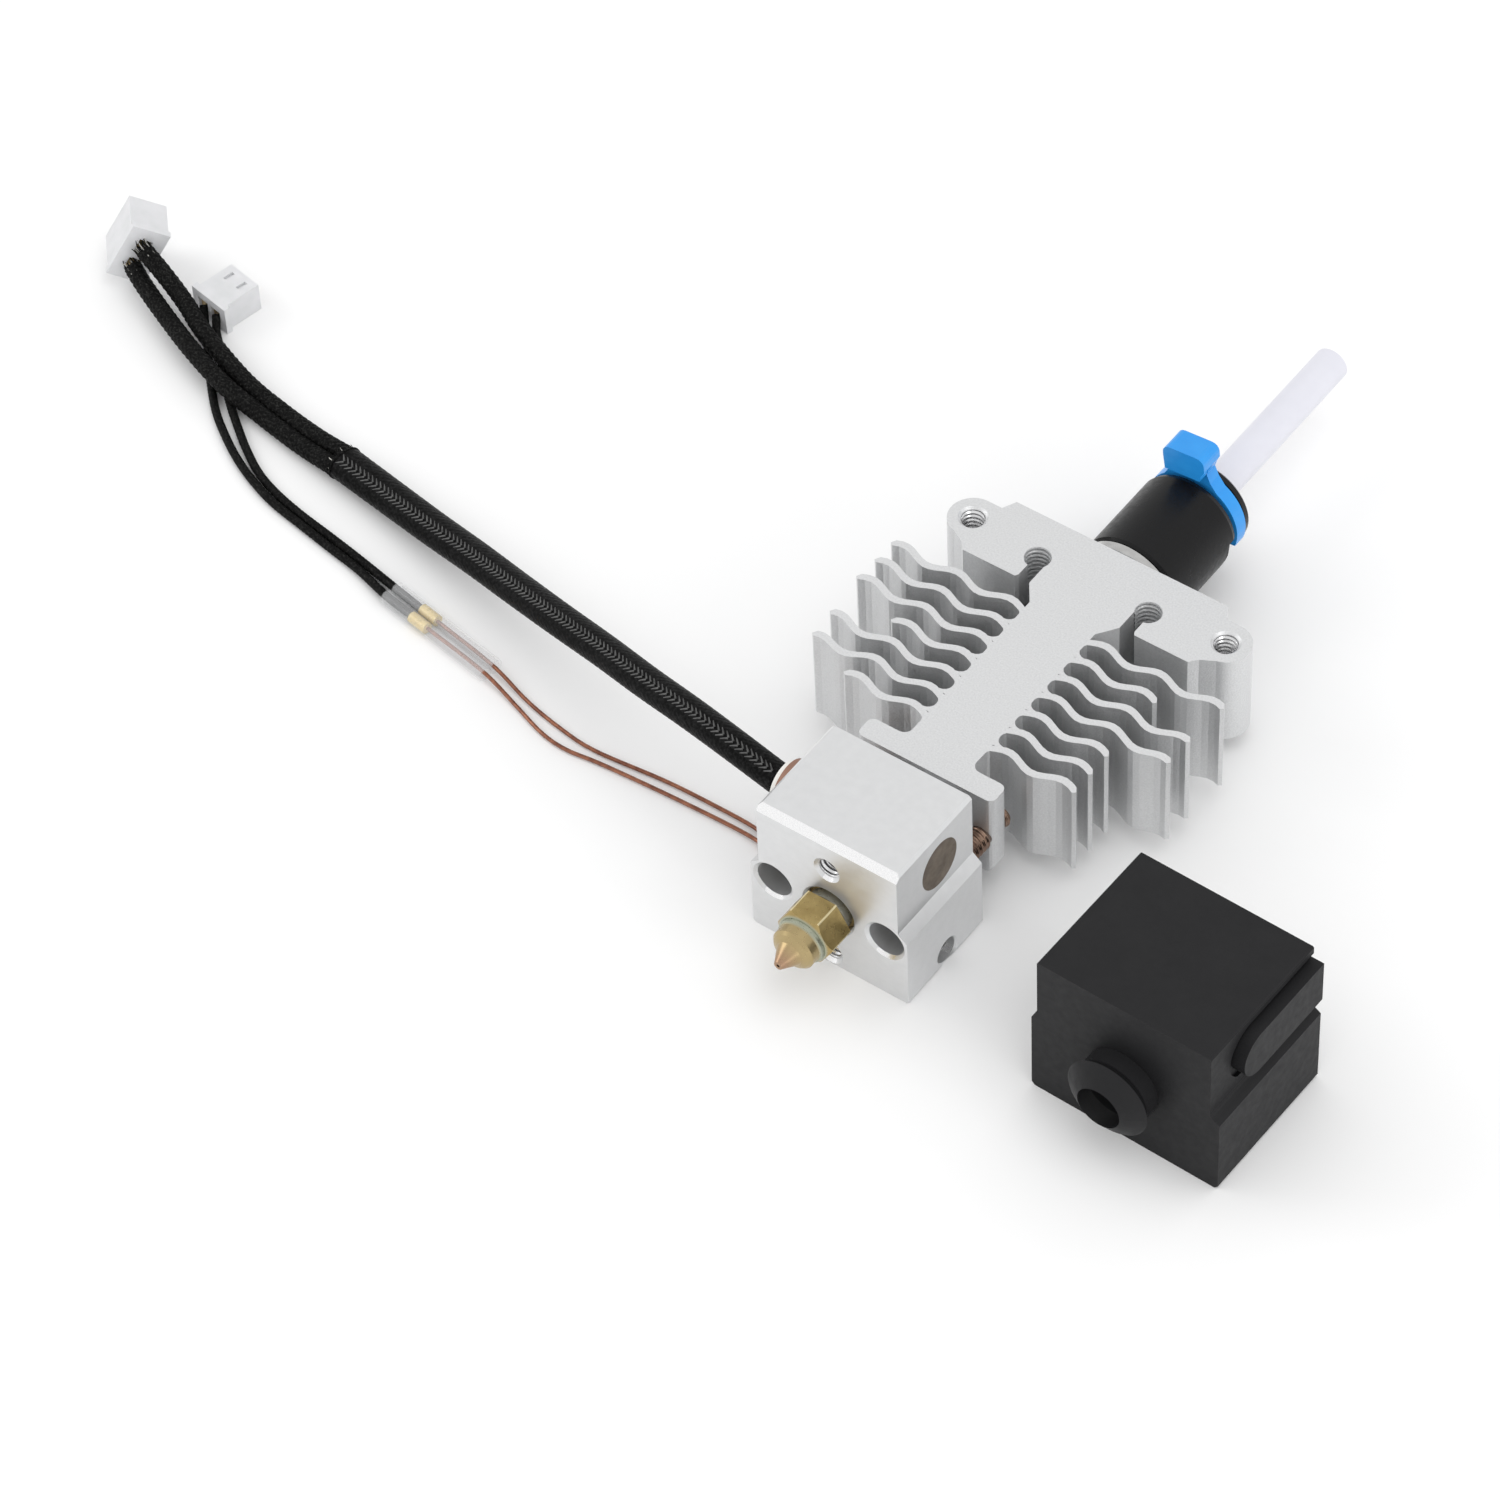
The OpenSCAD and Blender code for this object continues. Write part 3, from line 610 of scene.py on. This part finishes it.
# The same routes as in the CAD, in metres once they are built.
SLEEVE = [
    (-11.1, -41.4, 6), (-18.1, -40.2, 6), (-24.8, -38.6, 5.1), (-31.8, -36.8, 3.7),
    (-39.2, -34.6, 2), (-46.8, -32.4, 0.1), (-54.5, -30.1, -1.8), (-62.2, -27.8, -3.6),
    (-69.8, -25.9, -5), (-77.2, -24.2, -5.9), (-85.1, -22.7, -6.3)]
HEATER_LEAD_A = [
    (-85.2, -21.6, -6.3), (-89.9, -21.2, -6.5), (-96.1, -20.1, -6.8), (-102.2, -19, -6.3),
    (-110.2, -16.3, -5.5), (-114.9, -14, -5.2), (-118.9, -12.7, -4), (-122.12, -12.15, -2.35)]
HEATER_LEAD_B = [
    (-85.5, -23.8, -6.35), (-91.1, -22.9, -6.9), (-97.5, -21.8, -6.9), (-103.2, -21.2, -5.9),
    (-109, -19.4, -5.6), (-115, -16.9, -5.6), (-120.4, -14.5, -5.4), (-123.25, -13.15, -4.95)]
SENSOR_LEAD_A = [
    (-113.8, -12.3, -6.35), (-113, -13.2, -7.3), (-111.7, -14.6, -7.7), (-109.5, -16.9, -7.7),
    (-106.2, -20.4, -7.7), (-102.9, -23.5, -7.7), (-99.7, -25.8, -7.7), (-96.2, -27.9, -7.7),
    (-92.5, -29.6, -7.7), (-88.6, -30.9, -7.7), (-83.9, -31.8, -7.7), (-79, -32.7, -7.7),
    (-74.2, -33.6, -7.6), (-69.1, -35.1, -7.3), (-65, -35.8, -7.3)]
SENSOR_LEAD_B = [
    (-111.6, -12.7, -6.35), (-110.5, -14.1, -7.4), (-108.8, -15.6, -7.7), (-106.3, -18.1, -7.7),
    (-102.7, -21.4, -7.7), (-99.2, -24.1, -7.7), (-96.1, -26.3, -7.7), (-92.7, -28.3, -7.7),
    (-89.2, -29.6, -7.7), (-84.9, -30.6, -7.7), (-80, -31.4, -7.7), (-75.2, -32.3, -7.6),
    (-68.9, -33.7, -7.3), (-64.8, -34.5, -7.3)]
SENSOR_WIRE_A = [
    (-62.3, -34.9, -7.3), (-53.4, -36.6, -7.3), (-47.6, -38.2, -7.8), (-42.6, -39.2, -7.9),
    (-37.4, -39.7, -7.9), (-28.8, -38.9, -7.9), (-22.6, -38.7, -7.9), (-16.6, -38.9, -7.8),
    (-13, -40.5, -7.2), (-11, -41.5, -6.6), (-9.2, -41.5, -6.6)]
SENSOR_WIRE_B = [
    (-62.6, -36.3, -7.3), (-53.7, -37.9, -7.3), (-48.2, -39.4, -7.8), (-43.5, -40.9, -7.9),
    (-39.9, -41.3, -7.9), (-35.5, -40.8, -7.9), (-25.6, -40.2, -7.9), (-16.1, -40.1, -7.8),
    (-13, -41.6, -7.2), (-11, -42.4, -6.6), (-9.2, -42.4, -6.6)]


def metres(point):
    return tuple(c * MM for c in point)


SLEEVE_HALF_WIDE = (1.7, 2.15)   # at the cartridge and at the cut end
SLEEVE_HALF_HIGH = (1.65, 1.65)
LEAD_HALF = (1.0, 1.0)
SENSOR_LEAD_HALF = (0.47, 0.47)
SENSOR_WIRE_R = 0.23

sleeve_path = braided(
    "braided_sleeve", SLEEVE, SLEEVE_HALF_WIDE, SLEEVE_HALF_HIGH, strands=16, pitch=15, relief=0.07,
    step=0.14, around=80, mat=braid, node="heater_sleeve", slot="braid", exit=metres(SLEEVE[0]),
    diameter=0.0036, far_end="bare", stiffness="medium", lay="loose", with_pieces=["cartridge_collar"])
for name, route, node in (("heater_lead_upper", HEATER_LEAD_A, "heater_lead_a"),
                          ("heater_lead_lower", HEATER_LEAD_B, "heater_lead_b")):
    braided(name, route, LEAD_HALF, LEAD_HALF, strands=8, pitch=7, relief=0.18, step=0.14, around=48,
            mat=dull_braid, node=node, slot="braid", exit=metres(route[0]), diameter=0.002,
            far_end="plug", stiffness="medium", lay="loose", with_pieces=["heater_plug", "heater_terminals"])
for name, route, node in (("sensor_wire_upper", SENSOR_WIRE_A, "thermistor_wire_a"),
                          ("sensor_wire_lower", SENSOR_WIRE_B, "thermistor_wire_b")):
    wire(name, route, SENSOR_WIRE_R, enamel, node, slot="enamel_copper", exit=metres(route[-1]),
         far_end="fitting", stiffness="medium", lay="loose", with_pieces=["splice_tube", "splice_crimps"])
for name, route, node in (("sensor_lead_outer", SENSOR_LEAD_A, "sensor_lead_a"),
                          ("sensor_lead_inner", SENSOR_LEAD_B, "sensor_lead_b")):
    braided(name, route, SENSOR_LEAD_HALF, SENSOR_LEAD_HALF, strands=6, pitch=3.2, relief=0.06, step=0.12,
            around=24, mat=dull_braid, node=node, slot="sensor_lead_black", exit=metres(route[-1]),
            diameter=0.00095, far_end="plug", stiffness="limp", lay="loose",
            with_pieces=["sensor_plug", "sensor_terminals"])

# ------------------------------------------------------------------ CAD nodes

dress("heat_sink", blasted, 0.15, 2, sawn_edge)
dress("heater_block", milled, 0.16, 2, bright)
dress("heat_break", steel)
# the nozzle's bevelled edges take the brass with the painted highlight
dress("nozzle", brass, 0.17, 2, brass_edge)
dress("heater_cartridge", cartridge_mat, 0.15, 2, cartridge_rim)
dress("cartridge_collar", ceramic, 0.12, 2)
dress("set_screws", dark_steel, 0.05, 1)
dress("block_screws", screw_mat, 0.06, 1)
dress("thermistor", sensor_mat, 0.2, 2)
dress("fitting_base", nickel, 0.08, 1)
dress("fitting_body", moulded, 0.18, 3)
dress("seal_ring", gloss_black, 0.3, 3)
dress("grab_ring", steel)
dress("collet", gloss_black, 0.12, 2)
dress("collet_clip", blue, 0.25, 3)
dress("ptfe_tube", milky, 0.12, 2)
dress("heater_plug", nylon, 0.12, 2)
dress("sensor_plug", nylon, 0.12, 2)
dress("heater_terminals", terminal, 0.1, 1)
dress("sensor_terminals", terminal, 0.1, 1)
dress("splice_tube", clear)
dress("splice_crimps", crimp, 0.12, 2)
dress("silicone_sock", silicone, 0.2, 3)

# ------------------------------------------------------------------ details

# threads in the ear holes, the keyholes and the set screw holes, and those of the block screws
EAR_X, SCREW_X, KEY_Y = 16, 7, -1
UPPER_SET_Z, LOWER_SET_Z = 6.4, -6.5
KEY_GAP = {-1: (250, 335), 1: (205, 290)}   # the slot opens the keyhole between these angles
for side, label in ((-1, "left"), (1, "right")):
    ear, key, screw = (EAR_X * side, 0, 0), (SCREW_X * side, KEY_Y, 0), (SCREW_X * side, 0, 0)
    thread(f"ear_thread_{label}", 1.41, 1.16, -5.9, 5.7, 0.6, thread_mat, ear, "Z")
    thread(f"key_thread_{label}", 1.51, 1.36, -5.9, 5.9, 0.6, blasted, key, "Z", KEY_GAP[side])
    thread(f"block_screw_thread_{label}", 1.2, 1.48, -35.5, -31.9, 0.65, screw_thread, screw)
    thread(f"block_screw_tip_{label}", 1.2, 1.45, -29.05, -28.25, 0.4, screw_thread, screw)
for label, z, inner in (("upper", UPPER_SET_Z, -47.1), ("lower", LOWER_SET_Z, -46.1)):
    thread(f"{label}_set_thread", 1.26, 1.02, -48.3, inner, 0.55, thread_mat, (0, 0, z))

# stitched seam of chevrons along the side of the sleeve that faces up and forward
SEAM_ANGLE = math.radians(112)
SEAM_HALF_HIGH = 1.66
SEAM_EVERY = 5                     # path points from one chevron to the next
SEAM_CLEAR_START, SEAM_CLEAR_END = 4, 6
ARM_START, ARM_SWEEP = 1, 17       # degrees round the sleeve
ARM_REACH = 0.8                    # mm along the sleeve
stitches = []
for i in range(SEAM_CLEAR_START, len(sleeve_path) - SEAM_CLEAR_END, SEAM_EVERY):
    q = sleeve_path[i]
    t = (sleeve_path[i + 1] - sleeve_path[i - 1]).normalized()
    aside, rise = across(t)
    wide = SLEEVE_HALF_WIDE[0] + (SLEEVE_HALF_WIDE[1] - SLEEVE_HALF_WIDE[0]) * i / (len(sleeve_path) - 1)
    for arm in (-1, 1):
        line = []
        for f in (0, 0.5, 1):
            a = SEAM_ANGLE + arm * math.radians(ARM_START + ARM_SWEEP * f)
            line.append(q + aside * (wide * math.cos(a)) + rise * (SEAM_HALF_HIGH * math.sin(a))
                        + t * (ARM_REACH * f))
        stitches.append(tapered(line, 0.15, 0.6))
joined("sleeve_seam", stitches, seam_mat)

# cut ends of the braids: a raised rim on the sleeve and loose fibres on all three
LOWEST_FIBRE = -8.05
RIM_STEPS, RIM_BACK, RIM_HALF_WIDE, RIM_HALF_HIGH = 40, 0.25, 2.1, 1.6
rng = random.Random(7)
tail = sleeve_path[-1]
drawn = (sleeve_path[-1] - sleeve_path[-6]).normalized()
aside, rise = across(drawn)
rim_line = []
for k in range(RIM_STEPS + 1):
    a = TAU * k / RIM_STEPS
    rim_line.append(tail - drawn * RIM_BACK + aside * (RIM_HALF_WIDE * math.cos(a))
                    + rise * (RIM_HALF_HIGH * math.sin(a)))
rim = tube_shape(rim_line, 6, lambda t, angle, run: (0.14 * math.cos(angle), 0.22 * math.sin(angle)))


def fray(tip, drawn, wide, high, reach, count, start=0.5):
    """Loose fibres round the cut end of a braid, up to reach mm long."""
    aside, rise = across(drawn)
    hairs = []
    for k in range(count):
        a = TAU * k / count + rng.uniform(-0.09, 0.09)
        edge = aside * (wide * math.cos(a)) + rise * (high * math.sin(a))
        far = rng.uniform(0.3, 1) * reach
        flare = rng.uniform(-0.25, 0.2)
        swirl = drawn.cross(edge.normalized()) * rng.uniform(-0.5, 0.5)
        line = [tip - drawn * start + edge]
        for f in (0.4, 0.7, 1.0):
            q = tip + edge + drawn * (far * f) + (edge.normalized() * flare + swirl) * (far * f * f)
            q.z = max(q.z, LOWEST_FIBRE)
            line.append(q)
        hairs.append(tapered(line, rng.uniform(0.05, 0.1), 0.5))
    return hairs


hairs = fray(tail, drawn, 2.05, 1.55, 1.1, 34)
for line in (HEATER_LEAD_A, HEATER_LEAD_B):
    tip, before = Vector(line[-1]), Vector(line[-2])
    hairs += fray(tip, (tip - before).normalized(), 0.92, 0.92, 1.3, 30, start=1.2)
dark_hairs = [hair for k, hair in enumerate(hairs) if k % 4]
joined("cut_ends_dark", [rim] + dark_hairs, dull_braid)
joined("cut_ends_light", hairs[::4], fibre)

# ------------------------------------------------------------------ stage and light

FLOOR_GAP = 0.00002   # metres under the lowest point
bpy.ops.mesh.primitive_plane_add(size=6, location=(0, 0, cad_low[2] - FLOOR_GAP))
floor = bpy.context.object
floor.name = "floor"
floor_mat = principled("floor", (0.92, 0.92, 0.92), 0.9, Specular_IOR_Level=0.1)
mottle(floor_mat, noise(floor_mat, 0.01, 2), (0.915, 0.915, 0.915), (0.925, 0.925, 0.925))
floor.data.materials.append(floor_mat)

world = bpy.data.worlds.new("studio")
world.use_nodes = True
world.node_tree.nodes["Background"].inputs["Color"].default_value = (1, 1, 1, 1)
world.node_tree.nodes["Background"].inputs["Strength"].default_value = 0.9
scene.world = world


def softbox(name, place_at, aim, size, power):
    """A square area light; metres and watts."""
    data = bpy.data.lights.new(name, "AREA")
    data.shape = "SQUARE"
    data.size = size
    data.energy = power
    light = bpy.data.objects.new(name, data)
    light.location = place_at
    light.rotation_euler = (Vector(aim) - Vector(place_at)).to_track_quat("-Z", "Y").to_euler()
    scene.collection.objects.link(light)


softbox("top_box", (0.25, -0.05, 0.8), (-0.02, -0.02, 0), 0.6, 1.2)
softbox("left_box", (-0.7, -0.25, 0.45), (-0.02, -0.02, 0), 0.45, 1.2)
softbox("right_box", (0.75, -0.15, 0.25), (0.02, -0.02, 0), 0.35, 1.2)
